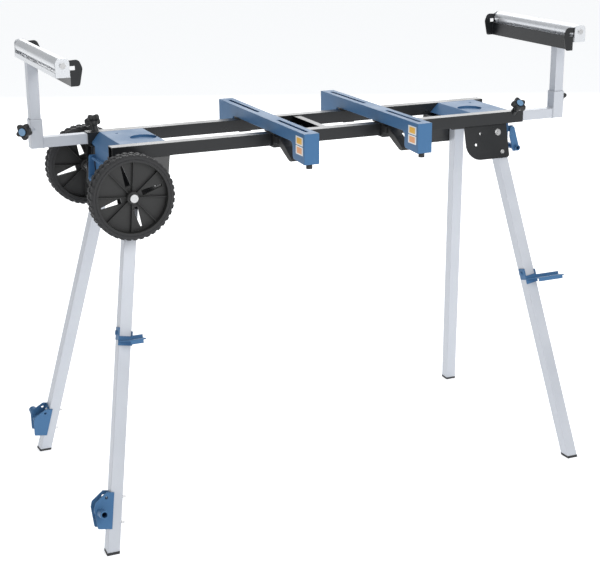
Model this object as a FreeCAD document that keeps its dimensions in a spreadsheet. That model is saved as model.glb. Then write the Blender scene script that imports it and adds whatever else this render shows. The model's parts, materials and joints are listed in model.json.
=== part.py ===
import FreeCAD, Part
import Sketcher
import math
import os
import re

from FreeCAD import Placement, Rotation, Vector

# Folding stand for a mitre saw: two box rails on four splayed, folding legs, two sliding saw
# mounting beams, two pull-out roller supports and two transport wheels.
# X runs along the rails, -Y is the front, Z is up from the floor. Millimetres and degrees.
# A size written as text is worked out from the sizes above it.

SIZES = {
    # frame
    "centre_x": 6.97,            # rails' middle, from the middle of everything the stand reaches
    "deck_top": 915.0,           # top of the rails above the floor
    "rail_length": 1120.0,
    "rail_size": 30.0,           # square tube
    "rail_wall": 2.0,
    "frame_width": 234.0,        # over the outer faces of the two rails
    "brace_width": 76.0,
    "brace_depth": 26.0,
    "sheet": 2.5,                # pressed steel sheet
    "fit_gap": 0.5,              # play between pieces that slide or stand side by side
    # end covers
    "cover_inner": "rail_length/2 - 140",    # from the rails' middle to the start of the flat top
    "cover_outer": "rail_length/2 - 29",
    "cover_end": "rail_length/2 - 9",
    "cover_bevel": 24.0,
    "cover_drop": "deck_top - 125",          # height of the lower edge
    "cover_half": 62.0,          # half width below the rails
    "dish_radius": 32.0,         # round dish pressed into each cover
    "dish_depth": 5.0,
    "dish_off": 22.0,            # dish forward of the middle plane and off the cover's middle
    # legs
    "leg_tube": 29.0,
    "leg_wall": 1.5,
    "splay": 15.0,               # outward tilt of each leg's swing plane
    "lean_left": 10.25,
    "lean_right": 8.45,
    "pivot_left": "rail_length/2 - 46",      # from the rails' middle
    "pivot_right": "rail_length/2 - 74",
    "pivot_drop": 57.0,          # right pivots below the deck top
    "pivot_step": 44.0,          # left pivots further down the swing plane, so the legs nest
    "pivot_half": "frame_width/2 - 22",      # right pivots from the middle plane
    "leg_over": 14.0,            # leg above its pivot
    "bolt_radius": 5.0,
    "bolt_head": 7.5,
    "cap_height": 6.0,           # sole of a foot cap, below the end of its leg
    "plug_length": 26.0,         # foot cap inside its leg
    "cheek_gap": 2.5,            # between a leg and the cheeks that hold it
    "cheek_left": 52.0,          # cheeks below the left pivots
    "cheek_right": 68.0,         # cheeks below the right pivots
    "cheek_in_left": 104.0,
    "cheek_in_right": 99.0,
    "cheek_out": 28.0,
    "cheek_slant": 29.0,         # how far a left cheek's inner edge slopes away
    "ear_reach": 30.0,           # the shallow inner cheeks, from their pivots
    "ear_depth": 16.0,
    "lock_reach": 52.0,          # lock pin below a pivot
    "clip_left": 360.0,          # mid-leg clips below their pivots
    "clip_right": 398.0,
    "clip_tray": 68.0,
    "clip_short": 26.0,
    "bracket_height": 86.0,      # foot brackets on the left legs
    "bracket_reach": 46.0,
    "bracket_up": 100.0,         # middle of the foot bracket, up the leg from the floor
    "socket_radius": 10.0,
    "socket_bore": 6.5,
    "socket_length": 38.0,
    # wheels
    "wheel_radius": 100.0,
    "wheel_width": 39.0,
    "wheel_face": "frame_width/2 + 97",      # outer face of a wheel from the middle plane
    "wheel_x": "rail_length/2 - 18",
    "wheel_height": "deck_top - 100",
    "tread": 13.0,
    "web_half": 3.5,             # half the thickness of a wheel's web
    "axle_radius": 5.5,
    "axle_play": 0.1,
    # saw beams
    "beam_length_front": "frame_width/2 + 197",
    "beam_length_rear": "frame_width/2 + 116",
    "beam_width": 38.0,
    "beam_height": 28.0,
    "beam_pad": 3.5,             # saddle between a rail and a beam
    "beam_left": -142.0,
    "beam_right": 155.0,
    "beam_drop": 72.0,           # depth of a beam's end blocks
    "front_block": 67.0,         # length of the end blocks
    "rear_block": 97.0,
    "slot_width": 9.0,
    "slot_inset": 24.0,
    "rear_slot": 205.0,
    "front_slot": 175.0,
    # roller supports
    "arm_gap": 0.5,              # play between an arm and its tube
    "arm_wall": 1.8,
    "arm_inside": 330.0,         # length of an arm inside its rail
    "left_out": 125.0,           # post's axis beyond the rail's end
    "right_out": 110.0,
    "sleeve_height": 70.0,
    "roller_top": "deck_top + 223",
    "roller_radius": 16.0,
    "roller_length": 378.0,
    "post_below": 66.0,          # post hidden in its sleeve
    "channel_half": 17.0,
    "channel_depth": 26.0,       # from the roller's axis to the underside of the channel
    "axle_thin": 4.0,
    "stop_reach": 46.0,          # length stop inwards from the roller's axis
    "stop_low": 47.0,
    "stop_high": 12.0,
    # clamp knobs
    "knob_radius": 21.0,
    "knob_height": 15.0,
    "knob_stand": 21.0,          # grip's underside above the tube's corner
    "stud_radius": 4.0,
    "knob_from_end": 28.0,
    # end handles
    "handle_drop": 52.0,
    "handle_left": 1.0,          # grip's axis beyond the hinge: the left handle hangs straight down
    "handle_right": 16.0,
    "handle_bar": 7.5,
    "handle_half": 70.0,
}

doc = FreeCAD.newDocument("mitre_saw_stand")
table = doc.addObject("Spreadsheet::Sheet", "size")
for row, (name, size) in enumerate(SIZES.items(), start=1):
    table.set(f"A{row}", name)
    table.setAlias(f"B{row}", name)
    table.set(f"B{row}", f"={size}")
doc.recompute()

nodes = []


def formula(text):
    """Write sizes by their plain names and get the sheet's own names back."""
    return re.sub(r"[a-z_]+", lambda m: f"size.{m[0]}" if m[0] in SIZES else m[0], str(text))


def value(text):
    """Work out a formula from the sheet, as a plain number."""
    return float(table.evalExpression(formula(text)))


def bind(item, **cells):
    """Tie properties to formulas; two underscores stand for the dot in a property's path."""
    for prop, text in cells.items():
        item.setExpression(prop.replace("__", "."), formula(text))
    return item


def move(item, x="0", y="0", z="0"):
    return bind(item, Placement__Base__x=x, Placement__Base__y=y, Placement__Base__z=z)


def box(x, y, z, length, width, height):
    """A block from its lowest corner and its three sizes."""
    item = doc.addObject("Part::Box", "block")
    bind(item, Length=length, Width=width, Height=height)
    return move(item, x, y, z)


TURNS = {"x": Rotation(Vector(0, 1, 0), 90), "y": Rotation(Vector(1, 0, 0), -90), "z": Rotation()}


def rod(axis, x, y, z, radius, height):
    """A round bar that starts at a point and runs along one axis."""
    item = doc.addObject("Part::Cylinder", "rod")
    item.Placement = Placement(Vector(), TURNS[axis])
    bind(item, Radius=radius, Height=height)
    return move(item, x, y, z)


def join(*items):
    item = doc.addObject("Part::MultiFuse", "joined")
    item.Shapes = list(items)
    item.Refine = True
    return item


def group(*items):
    """Several separate solids that share one node."""
    item = doc.addObject("Part::Compound", "group")
    item.Links = list(items)
    return item


def cut(base, *tools):
    item = doc.addObject("Part::Cut", "trimmed")
    item.Base = base
    item.Tool = tools[0] if len(tools) == 1 else join(*tools)
    return item


def pose(item, frame):
    """Stand a finished piece in the frame, once its own shape is known."""
    item.Placement = frame
    return item


def node(name, item):
    """Keep a finished piece under its own name, moved with the rails' middle."""
    held = {path.lstrip("."): text for path, text in item.ExpressionEngine}
    pending = held.get("Placement.Base.x", str(item.Placement.Base.x))
    item.setExpression("Placement.Base.x", f"{pending} + size.centre_x")
    item.Label = name
    nodes.append(item)
    return item


PLANES = {"xy": "XY_Plane", "xz": "XZ_Plane", "yz": "YZ_Plane"}
IN_PLANE = {
    "xy": lambda p: (p.x, p.y),
    "xz": lambda p: (p.x, p.z),
    "yz": lambda p: (p.y, p.z),
}


def outline(body, plane, points):
    """A closed sketch on one of the body's own planes, each corner held by two formulas."""
    wanted = PLANES[plane]
    base = next(item for item in body.Origin.OriginFeatures if item.Role == wanted)
    sketch = body.newObject("Sketcher::SketchObject", "outline")
    sketch.AttachmentSupport = [(base, "")]
    sketch.MapMode = "FlatFace"
    corners = [Vector(value(across), value(up), 0) for across, up in points]
    count = len(corners)
    for start, end in zip(corners, corners[1:] + corners[:1]):
        sketch.addGeometry(Part.LineSegment(start, end))
    for i in range(count):
        sketch.addConstraint(Sketcher.Constraint("Coincident", i, 2, (i + 1) % count, 1))
    for i, (across, up) in enumerate(points):
        held = sketch.addConstraint(Sketcher.Constraint("DistanceX", -1, 1, i, 1, corners[i].x))
        sketch.setExpression(f"Constraints[{held}]", formula(across))
        held = sketch.addConstraint(Sketcher.Constraint("DistanceY", -1, 1, i, 1, corners[i].y))
        sketch.setExpression(f"Constraints[{held}]", formula(up))
    return sketch


def plate(plane, points, thickness, rounds=()):
    """An outline given a thickness evenly about its plane; rounds are (corner, radius)."""
    body = doc.addObject("PartDesign::Body", "plate")
    sketch = outline(body, plane, points)
    pad = body.newObject("PartDesign::Pad", "pad")
    pad.Profile = sketch
    pad.Midplane = True
    bind(pad, Length=thickness)
    last = pad
    for corner, radius in rounds:
        doc.recompute()
        spot = [value(part) for part in points[corner]]
        edges = []
        for number, edge in enumerate(last.Shape.Edges, start=1):
            ends = [IN_PLANE[plane](v.Point) for v in edge.Vertexes]
            here = all(math.dist(end, spot) < 0.01 for end in ends)
            if here and len(ends) == 2:
                edges.append(f"Edge{number}")
        fillet = body.newObject("PartDesign::Fillet", "round")
        fillet.Base = (last, edges)
        bind(fillet, Radius=radius)
        last = fillet
    body.Tip = last
    return body


def turned(points):
    """A solid of revolution about Y from an outline of (radius, place along Y)."""
    body = doc.addObject("PartDesign::Body", "turned")
    sketch = outline(body, "xy", points)
    spin = body.newObject("PartDesign::Revolution", "spin")
    spin.Profile = sketch
    spin.ReferenceAxis = (sketch, ["V_Axis"])
    spin.Angle = 360
    body.Tip = spin
    return body


# ---- where things stand ------------------------------------------------------------------

SPLAY = {"front": -value("splay"), "rear": value("splay")}
OUT = {"front": -1, "rear": 1}
END = {"left": -1, "right": 1}
LEAN = {"left": value("lean_left"), "right": -value("lean_right")}
STEP = {"left": "pivot_step", "right": "0"}


def swing_plane(row):
    """The tilted plane that both legs of one row swing in, at the right pivots' height."""
    base = Vector(0, OUT[row] * value("pivot_half"), value("deck_top - pivot_drop"))
    return Placement(base, Rotation(Vector(1, 0, 0), SPLAY[row]))


def pivot(end, row):
    """A leg's pivot, with Y along the pivot bolt and Z up the swing plane."""
    spot = Vector(END[end] * value(f"pivot_{end}"), 0, -value(STEP[end]))
    return swing_plane(row) * Placement(spot, Rotation())


def leg_frame(end, row):
    """A leg's own frame at its pivot: the leg hangs along -Z and X points along the rails."""
    return pivot(end, row) * Placement(Vector(), Rotation(Vector(0, 1, 0), LEAN[end]))


def leg_reach(end):
    """From a leg's pivot to the floor, along the leg."""
    fall = value(f"deck_top - pivot_drop - ({STEP[end]})*cos(splay)")
    return fall / (math.cos(math.radians(value("splay"))) * math.cos(math.radians(LEAN[end])))


def knob_frame(where):
    """A clamp knob's screw: from a tube's corner, outwards at 45 degrees."""
    half = value("frame_width/2")
    along = value("rail_length/2 - knob_from_end")
    top = value("deck_top")
    sleeve = value("rail_size/2")
    high = value("deck_top - rail_size/2 - (rail_size/2 - rail_wall - arm_gap) + sleeve_height*0.68")
    middle = value("frame_width/2 - rail_size/2")
    reach = {side: value(f"rail_length/2 + {side}_out") for side in END}
    corners = {
        "left_rail": (Vector(-along, half, top), Vector(0, 1, 1)),
        "right_rail": (Vector(along, -half, top), Vector(0, -1, 1)),
        "left_post": (Vector(-reach["left"] - sleeve, middle - sleeve, high), Vector(-1, -1, 0)),
        "right_post": (Vector(reach["right"] + sleeve, sleeve - middle, high), Vector(1, 1, 0)),
    }
    spot, direction = corners[where]
    return Placement(spot, Rotation(Vector(0, 0, 1), direction))


# ---- rails, brace and end covers ---------------------------------------------------------

RAIL_FLOOR = "deck_top - rail_size"
RAIL_BORE = "rail_size - 2*rail_wall"


def weld_nut(where, envelope):
    """The nut on a tube's corner that a clamp screw turns in."""
    nut = doc.addObject("Part::Cylinder", "nut")
    bind(nut, Radius="stud_radius + 4", Height="15")
    pose(nut, knob_frame(where) * Placement(Vector(0, 0, -8), Rotation()))
    return cut(nut, envelope)


def screw_hole(where):
    hole = doc.addObject("Part::Cylinder", "hole")
    bind(hole, Radius="stud_radius + 0.3", Height="24")
    return pose(hole, knob_frame(where) * Placement(Vector(0, 0, -12), Rotation()))


def rail(row, knob):
    low = "-frame_width/2" if row == "front" else "frame_width/2 - rail_size"
    solid = box("-rail_length/2", low, RAIL_FLOOR, "rail_length", "rail_size", "rail_size")
    envelope = box("-rail_length/2", low, RAIL_FLOOR, "rail_length", "rail_size", "rail_size")
    bore = box("-rail_length/2 - 5", f"{low} + rail_wall", f"{RAIL_FLOOR} + rail_wall",
               "rail_length + 10", RAIL_BORE, RAIL_BORE)
    tube = cut(solid, bore)
    return node(f"{row}_rail", cut(join(tube, weld_nut(knob, envelope)), screw_hole(knob)))


def cross_brace():
    """An open channel between the rails, with a lip along its right-hand flange."""
    left = "-brace_width + 6"
    half = "(frame_width/2 - rail_size)"
    low = "deck_top - 2 - brace_depth"
    width = f"2*{half}"
    web = box(left, f"-{half}", low, "brace_width", width, "sheet")
    near = box(left, f"-{half}", low, "sheet", width, "brace_depth")
    far = box("6 - sheet", f"-{half}", low, "sheet", width, "brace_depth")
    lip = box("6 - 18", f"-{half}", "deck_top - 2 - sheet", "18", width, "sheet")
    hole = rod("z", "-brace_width/2 + 3", "0", f"{low} - 5", "4", "20")
    return node("cross_brace", cut(join(web, near, far, lip), hole))


def end_cover(end):
    """A folded sheet between the rails: bevelled both ways, its outer end hanging low."""
    s = END[end]
    shape = [
        ("cover_inner - cover_bevel", "deck_top - cover_bevel"),
        ("cover_inner", "deck_top"),
        ("cover_outer", "deck_top"),
        ("cover_end", "deck_top - cover_bevel"),
        ("cover_end", "cover_drop"),
        ("cover_end - sheet", "cover_drop"),
        ("cover_end - sheet", "deck_top - cover_bevel - 1"),
        ("cover_outer - 1", "deck_top - sheet"),
        ("cover_inner + 1", "deck_top - sheet"),
        ("cover_inner - cover_bevel + sheet*1.4", "deck_top - cover_bevel"),
    ]
    points = [(f"{s}*({across})", up) for across, up in shape]
    between = "(frame_width - 2*rail_size - 2*fit_gap)"
    skin = plate("xz", points, between, rounds=[(2, "3"), (3, "5"), (1, "3")])
    low = f"min({s}*(cover_end + 5); {s}*(cover_end - 30))"
    trims = [
        box(low, edge, "cover_drop - 5", "35", f"{between}/2", f"{RAIL_FLOOR} + 6 - cover_drop")
        for edge in (f"-{between}/2 - cover_half", "cover_half")
    ]
    span = f"min({s}*(cover_inner + 2); {s}*(cover_outer - 2))"
    flanges = [
        box(span, edge, "deck_top - 20", "cover_outer - cover_inner - 4", "2", "19")
        for edge in (f"-{between}/2", f"{between}/2 - 2")
    ]
    middle = f"{s}*(cover_inner + cover_outer)/2 - {s}*dish_off"
    cup_floor = "deck_top - dish_depth - sheet"
    cup = rod("z", middle, "-dish_off", cup_floor, "dish_radius + 2", "dish_depth + 1")
    dish = rod("z", middle, "-dish_off", "deck_top - dish_depth", "dish_radius", "dish_depth + 5")
    small = rod("z", f"{s}*(cover_outer - 33)", "50", "deck_top - 9", "4", "15")
    hinge = "deck_top - pivot_drop"
    lugs = [
        box(f"min({s}*(cover_end - 1); {s}*(cover_end + 15))", edge, f"{hinge} - 8", "16", "3", "16")
        for edge in ("-cover_half", "cover_half - 3")
    ]
    eye = rod("y", f"{s}*(cover_end + 8)", "-cover_half - 5", hinge, "3.1", "2*cover_half + 10")
    cover = cut(join(skin, cup, *flanges, *lugs), dish, small, eye, *trims)
    return node(f"{end}_end_cover", cover)


# ---- leg brackets and their fasteners ----------------------------------------------------

CHEEK_IN = "(leg_tube/2 + cheek_gap)"


def tilted_rod(end, row, away, up, radius, start, length):
    """A bar square to the swing plane, measured from a pivot, growing outwards from start."""
    bar = doc.addObject("Part::Cylinder", "bar")
    bind(bar, Radius=radius, Height=length)
    turn = Rotation(Vector(1, 0, 0), -90 * OUT[row])
    spot = Vector(END[end] * value(away), OUT[row] * value(start), value(up))
    return pose(bar, pivot(end, row) * Placement(spot, turn))


def leg_bracket(end, row):
    """A pressed sheet under a rail: a deep outer cheek, a shallow inner one and a top flange."""
    s = END[end]
    step = STEP[end]
    outer = "(pivot_right + cheek_out)" if end == "right" else "(wheel_x + axle_radius + 10)"
    inner = f"(pivot_{end} - cheek_in_{end})"
    deep_low = inner if end == "right" else f"({inner} + cheek_slant)"
    ear = f"(pivot_{end} - ear_reach)"
    deep_rounds = [(2, "8"), (3, "42")] if end == "right" else [(2, "20"), (3, "8")]
    cheeks = []
    for side, top_in, low_in, depth, rounds in (
        (OUT[row], inner, deep_low, f"cheek_{end}", deep_rounds),
        (-OUT[row], ear, ear, "ear_depth", [(2, "8"), (3, "8")]),
    ):
        foot = f"-({step}) - {depth}"
        points = [(f"{s}*{top_in}", "pivot_drop"), (f"{s}*{outer}", "pivot_drop"),
                  (f"{s}*{outer}", foot), (f"{s}*{low_in}", foot)]
        cheek = plate("xz", points, "sheet", rounds)
        offset = Vector(0, side * value(f"{CHEEK_IN} + sheet/2"), 0)
        cheeks.append(pose(cheek, swing_plane(row) * Placement(offset, Rotation())))
    middle = f"{OUT[row]}*(pivot_half - (pivot_drop - rail_size)*tan(splay))"
    reach = f"({CHEEK_IN} + sheet)/cos(splay)"
    low = f"min({s}*{inner}; {s}*{outer})"
    length = f"({outer} - {inner})"
    web = box(low, f"{middle} - {reach}", f"{RAIL_FLOOR} - sheet", length, f"2*{reach}", "sheet")
    above = box(f"{low} - 5", f"{middle} - 60", RAIL_FLOOR, f"{length} + 10", "120", "60")
    through = f"-{CHEEK_IN} - sheet - 5"
    deep = f"2*({CHEEK_IN} + sheet + 5)"
    holes = [tilted_rod(end, row, "0", "0", "bolt_radius + 0.05", through, deep)]
    lean = math.radians(abs(LEAN[end]))
    away = f"lock_reach*{math.sin(lean)}"
    down = f"-lock_reach*{math.cos(lean)}"
    holes.append(tilted_rod(end, row, away, down, "3.6", "0", deep))
    holes.append(tilted_rod(end, row, "-lock_reach", "0", "3.6", through, deep))
    holes.append(tilted_rod(end, row, "-lock_reach - 17", "-28", "3.6", through, deep))
    if end == "left":
        bore = "axle_radius + 0.05"
        holes.append(rod("y", "-wheel_x", "-wheel_face", "wheel_height", bore, "2*wheel_face"))
    body = cut(join(*cheeks, web), above, *holes)
    return node(f"{row}_{end}_leg_bracket", body)


def bracket_bolts():
    """Four pivot bolts with their nuts, and the lock pin and rivet beside each."""
    pieces = []
    for row in OUT:
        for end in END:
            side = f"({CHEEK_IN} + sheet)"
            shank = tilted_rod(end, row, "0", "0", "bolt_radius", f"-{side} - 6", f"2*{side} + 8")
            head = tilted_rod(end, row, "0", "0", "bolt_head", side, "4")
            nut = tilted_rod(end, row, "0", "0", "bolt_head", f"-{side} - 5", "5")
            pieces.append(join(shank, head, nut))
            lean = math.radians(abs(LEAN[end]))
            away = f"lock_reach*{math.sin(lean)}"
            down = f"-lock_reach*{math.cos(lean)}"
            pin = tilted_rod(end, row, away, down, "3.5", f"{CHEEK_IN} + 0.2", "sheet + 1.8")
            cap = tilted_rod(end, row, away, down, "5", side, "2.6")
            pieces.append(join(pin, cap))
    return node("leg_bracket_bolts", group(*pieces))


# ---- wheels ------------------------------------------------------------------------------

def wheel_axle():
    bar = rod("y", "-wheel_x", "-wheel_face - 1", "wheel_height", "axle_radius", "2*wheel_face + 2")
    inside = "(wheel_face - wheel_width - fit_gap)"
    collars = [
        rod("y", "-wheel_x", start, "wheel_height", "axle_radius + 4", "24")
        for start in (f"-{inside}", f"{inside} - 24")
    ]
    node("wheel_axle", join(bar, *collars))
    caps = [
        rod("y", "-wheel_x", start, "wheel_height", "axle_radius + 4", "4")
        for start in ("-wheel_face - 5", "wheel_face + 1")
    ]
    return node("axle_caps", group(*caps))


def wheel(row):
    """A moulded wheel, open through four slots in its web and ribbed on both faces, and its tyre."""
    rim = "(wheel_radius - tread)"
    half = "wheel_width/2"
    bore = "axle_radius + axle_play"
    shape = [
        (bore, f"-{half}"), ("13", f"-{half}"), ("15", f"-{half} + 2"), ("15", "-web_half"),
        (f"{rim} - 5", "-web_half"), (f"{rim} - 4", f"-{half} + 1"), (rim, f"-{half} + 1"),
        (rim, f"{half} - 1"), (f"{rim} - 4", f"{half} - 1"), (f"{rim} - 5", "web_half"),
        ("15", "web_half"), ("15", f"{half} - 2"), ("13", half), (bore, half),
    ]
    slots = []
    slot_end = f"{rim} - 11"
    for quarter in range(4):
        slot = plate("xz", [("26", "-7"), (slot_end, "-2.5"), (slot_end, "2.5"), ("26", "7")], "60")
        slots.append(pose(slot, Placement(Vector(), Rotation(Vector(0, 1, 0), -16 - 90 * quarter))))
    ribs = []
    for eighth in range(8):
        rib = doc.addObject("Part::Box", "rib")
        bind(rib, Length=f"{rim} - 4 - 14", Width="2*web_half + 14", Height="2")
        turn = Placement(Vector(), Rotation(Vector(0, 1, 0), 4 - 45 * eighth))
        ribs.append(pose(rib, turn * Placement(Vector(14, -value("web_half + 7"), -1), Rotation())))
    body = join(cut(turned(shape), *slots), *ribs)
    across = OUT[row] * value("wheel_face - wheel_width/2")
    spot = Vector(-value("wheel_x"), across, value("wheel_height"))
    node(f"{row}_wheel", pose(body, Placement(spot, Rotation())))
    tyre = [
        (rim, f"-{half} + 1"), (f"{rim} + 2", f"-{half}"), ("wheel_radius - 5", f"-{half}"),
        ("wheel_radius", f"-{half} + 5"), ("wheel_radius", f"{half} - 5"),
        ("wheel_radius - 5", half), (f"{rim} + 2", half), (rim, f"{half} - 1"),
    ]
    return node(f"{row}_tyre", pose(turned(tyre), Placement(spot, Rotation())))


# ---- legs and what is bolted to them -----------------------------------------------------

def beam_box(frame, low, size):
    """A block given in a leg's own frame."""
    item = doc.addObject("Part::Box", "block")
    bind(item, Length=size[0], Width=size[1], Height=size[2])
    return pose(item, frame * Placement(Vector(*[value(part) for part in low]), Rotation()))


def leg_rod(frame, low, axis, radius, length):
    item = doc.addObject("Part::Cylinder", "bar")
    bind(item, Radius=radius, Height=length)
    return pose(item, frame * Placement(Vector(*[value(part) for part in low]), TURNS[axis]))


def below(height):
    """Everything under a level, to trim feet square with the floor."""
    return box("-2000", "-2000", "-200", "4000", "4000", f"200 + {height}")


def leg(end, row):
    frame = leg_frame(end, row)
    reach = leg_reach(end)
    half = "leg_tube/2"
    inner = "(leg_tube - 2*leg_wall)"
    tube_size = ("leg_tube", "leg_tube", f"{reach} + 20 + leg_over")
    tube = beam_box(frame, (f"-{half}", f"-{half}", -reach - 20), tube_size)
    bore_low = (f"-{inner}/2", f"-{inner}/2", -reach - 30)
    bore = beam_box(frame, bore_low, (inner, inner, f"{reach} + 60"))
    holes = [leg_rod(frame, ("0", "-leg_tube", "0"), "y", "bolt_radius + 0.1", "2*leg_tube")]
    if end == "left":
        for up in ("30", "-30"):
            spot = ("-leg_tube", "0", f"{-reach} + bracket_up + {up}")
            holes.append(leg_rod(frame, spot, "x", "3.1", "2*leg_tube"))
    node(f"{row}_{end}_leg", cut(tube, bore, below("cap_height"), *holes))
    size = "(leg_tube + 1)"
    sole = beam_box(frame, (f"-{size}/2", f"-{size}/2", -reach - 20), (size, size, "60"))
    above = box("-2000", "-2000", "cap_height", "4000", "4000", "200")
    fit = f"({inner} - 0.2)"
    plug_size = (fit, fit, "20 + cap_height + plug_length")
    plug = beam_box(frame, (f"-{fit}/2", f"-{fit}/2", -reach - 20), plug_size)
    return node(f"{row}_{end}_foot_cap", cut(join(cut(sole, above), plug), below("0")))


def leg_clip(end):
    """A folded sheet round the front of a leg, with a level tray that catches the folded legs."""
    frame = leg_frame(end, "front")
    tray = "clip_short" if end == "left" else "clip_tray"
    side = "(leg_tube/2 + 0.1)"
    level = f"-clip_{end}"
    front = "(-leg_tube/2 - 1)"
    straps = [
        beam_box(frame, (f"-{side} - sheet", f"{front} - sheet", level), ("sheet", "leg_tube*0.9", "30")),
        beam_box(frame, (side, f"{front} - sheet", level), ("sheet", "leg_tube*0.9", "22")),
        beam_box(frame, (f"-{side} - sheet", f"{front} - sheet", f"{level} - 12"),
                 (f"2*({side} + sheet)", "sheet", "22")),
    ]
    rivet = leg_rod(frame, (f"-{side} - sheet - 3", "0", f"{level} + 17"), "x", "5.5", "3.5")
    level_frame = leg_frame(end, "front") * Placement(Vector(0, 0, value(level)), Rotation())
    level_frame = level_frame * Placement(Vector(), Rotation(Vector(0, 1, 0), -LEAN[end]))
    reach = f"({side} + sheet + {tray})"
    shape = [
        (f"-{side} - sheet", f"{front} - sheet"), (f"-{side} - sheet", f"{front} - 6"),
        ("2", f"{front} - 33"), (reach, f"{front} - 33"), (reach, f"{front} - sheet"),
    ]
    shelf = pose(plate("xy", shape, "sheet", rounds=[(3, "6")]), level_frame)
    lip = beam_box(level_frame, ("4", f"{front} - 33", "-9"), (f"{reach} - 12", "sheet", "9"))
    back = beam_box(level_frame, (side, f"{front} - sheet", "-1"), (f"{reach} - {side}", "2", "10"))
    return node(f"front_{end}_leg_clip", join(*straps, shelf, lip, back, rivet))


def foot_bracket(row):
    """A channel on the outside of a left leg, with a socket through its two cheeks."""
    frame = leg_frame("left", row)
    reach = leg_reach("left")
    level = -reach + value("bracket_up")
    side = "(leg_tube/2 + 0.2)"
    tall = value("bracket_height/2")
    deep = value("bracket_reach")
    edge = -7.0
    shape = [(edge, tall), (edge - 19, tall), (edge - deep + 2, tall - 25), (edge - deep, tall - 38),
             (edge - deep + 12, -tall), (edge, -tall)]
    cheeks = []
    for way in (-1, 1):
        cheek = plate("xz", shape, "sheet", rounds=[(1, "4"), (4, "4")])
        offset = Vector(0, way * value(f"{side} + sheet/2"), level)
        cheeks.append(pose(cheek, frame * Placement(offset, Rotation())))
    web_low = (f"-{side} - sheet", f"-{side}", level - tall)
    web = beam_box(frame, web_low, ("sheet", f"2*{side}", "bracket_height"))
    start = value(side) * -OUT[row]
    turn = Rotation(Vector(1, 0, 0), -90 * OUT[row])
    socket = []
    for radius in ("socket_radius", "socket_bore"):
        bar = doc.addObject("Part::Cylinder", "socket")
        bind(bar, Radius=radius, Height=f"2*{side} + socket_length")
        socket.append(pose(bar, frame * Placement(Vector(edge - 30, start, level - 4), turn)))
    holes = [
        leg_rod(frame, ("-leg_tube", "0", f"{level} + {up}"), "x", "3.1", "2*leg_tube")
        for up in ("30", "-30")
    ]
    holes.append(leg_rod(frame, (f"{edge} - 18", "-leg_tube", f"{level} + 30"), "y", "3.5", "2*leg_tube"))
    node(f"{row}_left_foot_bracket", cut(join(*cheeks, web, socket[0]), socket[1], *holes))
    bolts = []
    for up in ("30", "-30"):
        spot = f"{level} + {up}"
        shank = leg_rod(frame, (f"-{side} - sheet - 1", "0", spot), "x", "3", f"2*{side} + sheet + 10")
        head = leg_rod(frame, (f"-{side} - sheet - 4", "0", spot), "x", "5", "4")
        nut = leg_rod(frame, ("leg_tube/2", "0", spot), "x", "5", "3")
        bolts.append(join(shank, head, nut))
    return node(f"{row}_left_foot_bolts", group(*bolts))


# ---- end handles -------------------------------------------------------------------------

def end_handle(end):
    """A bail on the end cover: two arms, a bar across their ends and its own hinge rod."""
    s = END[end]
    hinge = ("(cover_end + 8)", "(deck_top - pivot_drop)")
    grip = (f"({hinge[0]} + handle_{end})", f"({hinge[1]} - handle_drop)")
    points = [
        (f"{s}*({hinge[0]} - 6)", f"{hinge[1]} + 6"), (f"{s}*({hinge[0]} + 7)", f"{hinge[1]} + 6"),
        (f"{s}*({grip[0]} + 9)", grip[1]), (f"{s}*({grip[0]} + 6)", f"{grip[1]} - 9"),
        (f"{s}*({grip[0]} - 10)", f"{grip[1]} - 9"), (f"{s}*({hinge[0]} - 6)", f"{hinge[1]} - 20"),
    ]
    arms = []
    for way in (-1, 1):
        arm = plate("xz", points, "3", rounds=[(0, "5"), (1, "5")])
        arms.append(move(arm, "0", f"{way}*(handle_half - 3)", "0"))
    bar = rod("y", f"{s}*{grip[0]}", "-handle_half - 6", grip[1], "handle_bar", "2*handle_half + 12")
    hollow = "handle_bar - 2.5"
    bore = rod("y", f"{s}*{grip[0]}", "-handle_half - 10", grip[1], hollow, "2*handle_half + 20")
    pin = rod("y", f"{s}*{hinge[0]}", "-handle_half + 2", hinge[1], "3", "2*handle_half - 4")
    return node(f"{end}_end_handle", cut(join(*arms, bar, pin), bore))


# ---- saw beams ---------------------------------------------------------------------------

BEAM_TOP = "(deck_top + beam_pad + beam_height)"
BEAM_FOOT = f"({BEAM_TOP} - beam_drop)"
LEVER_Y = "(-frame_width/2 - 21)"
LEVER_Z = "(deck_top - 13)"


def saw_beam(end):
    """A folded channel across the rails, with deep end blocks and two slots along its top."""
    at = f"beam_{end}"
    front = "beam_length_front"
    rear = "beam_length_rear"
    under = "(deck_top + beam_pad)"
    points = [
        (f"-{front}", BEAM_TOP), (f"-{front}", BEAM_FOOT),
        (f"-{front} + front_block", f"{BEAM_FOOT} + 4"), (f"-{front} + front_block", under),
        (f"{rear} - rear_block", under), (f"{rear} - rear_block", BEAM_FOOT),
        (rear, BEAM_FOOT), (rear, BEAM_TOP),
    ]
    skin = plate("yz", points, "beam_width", rounds=[(2, "9"), (3, "14"), (4, "8"), (5, "6")])
    move(skin, at)
    inside = box(f"{at} - beam_width/2 + sheet", f"-{front} + sheet", f"{BEAM_FOOT} - 5",
                 "beam_width - 2*sheet", f"{front} + {rear} - 2*sheet", "beam_drop - sheet + 5")
    cuts = [inside]
    slots = (
        (f"{rear} - slot_inset - rear_slot", "rear_slot"),
        (f"-{front} + slot_inset", "front_slot"),
    )
    for start, length in slots:
        near = f"{start} + slot_width/2"
        far = f"{start} + {length} - slot_width/2"
        cuts.append(box(f"{at} - slot_width/2", near, f"{BEAM_TOP} - 5",
                        "slot_width", f"{length} - slot_width", "10"))
        for spot in (near, far):
            cuts.append(rod("z", at, spot, f"{BEAM_TOP} - 5", "slot_width/2", "10"))
    return node(f"{end}_saw_beam", cut(skin, *cuts))


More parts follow.
